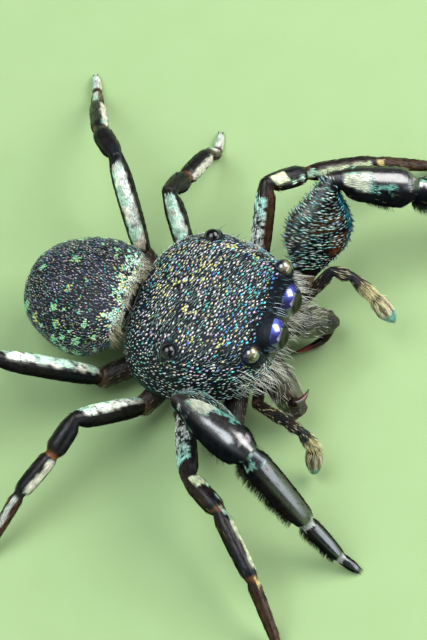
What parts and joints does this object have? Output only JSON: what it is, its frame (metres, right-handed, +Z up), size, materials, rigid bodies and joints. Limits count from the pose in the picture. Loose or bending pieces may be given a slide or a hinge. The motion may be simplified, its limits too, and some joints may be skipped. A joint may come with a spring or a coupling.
{
  "type": "jumping spider model",
  "caption": "Life-size still model of an iridescent black jumping spider on its feet, with thick raised front legs, domed carapace, large front eyes and rounded abdomen.",
  "frame": {"origin": "middle of the bounding box seen from above, at the level of the feet", "axes": "+Z up, -Y ahead of the face, -X to the spider's right"},
  "size_m": [0.0134, 0.0142, 0.0034],
  "materials": {
    "cuticle": "black with fine iridescent scales",
    "abdomen": "black with fine iridescent scales",
    "underside": "dull dark brown",
    "leg": "glossy black with pale bands",
    "eye": "polished",
    "fang": "polished",
    "palp": "hairy, with a pale end segment"
  },
  "bodies": {
    "root": {"carapace": "cuticle", "abdomen": "abdomen", "pedicel": "underside", "spinnerets": "underside", "sternum": "underside", "mouthparts": "underside", "eye_am_r": "eye", "eye_am_l": "eye", "eye_al_r": "eye", "eye_al_l": "eye", "eye_pm_r": "eye", "eye_pm_l": "eye", "eye_pl_r": "eye", "eye_pl_l": "eye", "chelicera_r": "cuticle", "chelicera_l": "cuticle", "fang_r": "fang", "fang_l": "fang", "palp_r_femur": "palp", "palp_r_tibia": "palp", "palp_r_cymbium": "palp", "palp_l_femur": "palp", "palp_l_tibia": "palp", "palp_l_cymbium": "palp", "leg1_r_femur": "leg", "leg1_r_patella": "leg", "leg1_r_tibia": "leg", "leg1_r_foot": "leg", "leg2_r_femur": "leg", "leg2_r_patella": "leg", "leg2_r_tibia": "leg", "leg2_r_foot": "leg", "leg3_r_femur": "leg", "leg3_r_patella": "leg", "leg3_r_tibia": "leg", "leg3_r_foot": "leg", "leg4_r_femur": "leg", "leg4_r_patella": "leg", "leg4_r_tibia": "leg", "leg4_r_foot": "leg", "leg1_l_femur": "leg", "leg1_l_patella": "leg", "leg1_l_tibia": "leg", "leg1_l_foot": "leg", "leg2_l_femur": "leg", "leg2_l_patella": "leg", "leg2_l_tibia": "leg", "leg2_l_foot": "leg", "leg3_l_femur": "leg", "leg3_l_patella": "leg", "leg3_l_tibia": "leg", "leg3_l_foot": "leg", "leg4_l_femur": "leg", "leg4_l_patella": "leg", "leg4_l_tibia": "leg", "leg4_l_foot": "leg"}
  },
  "joints": []
}
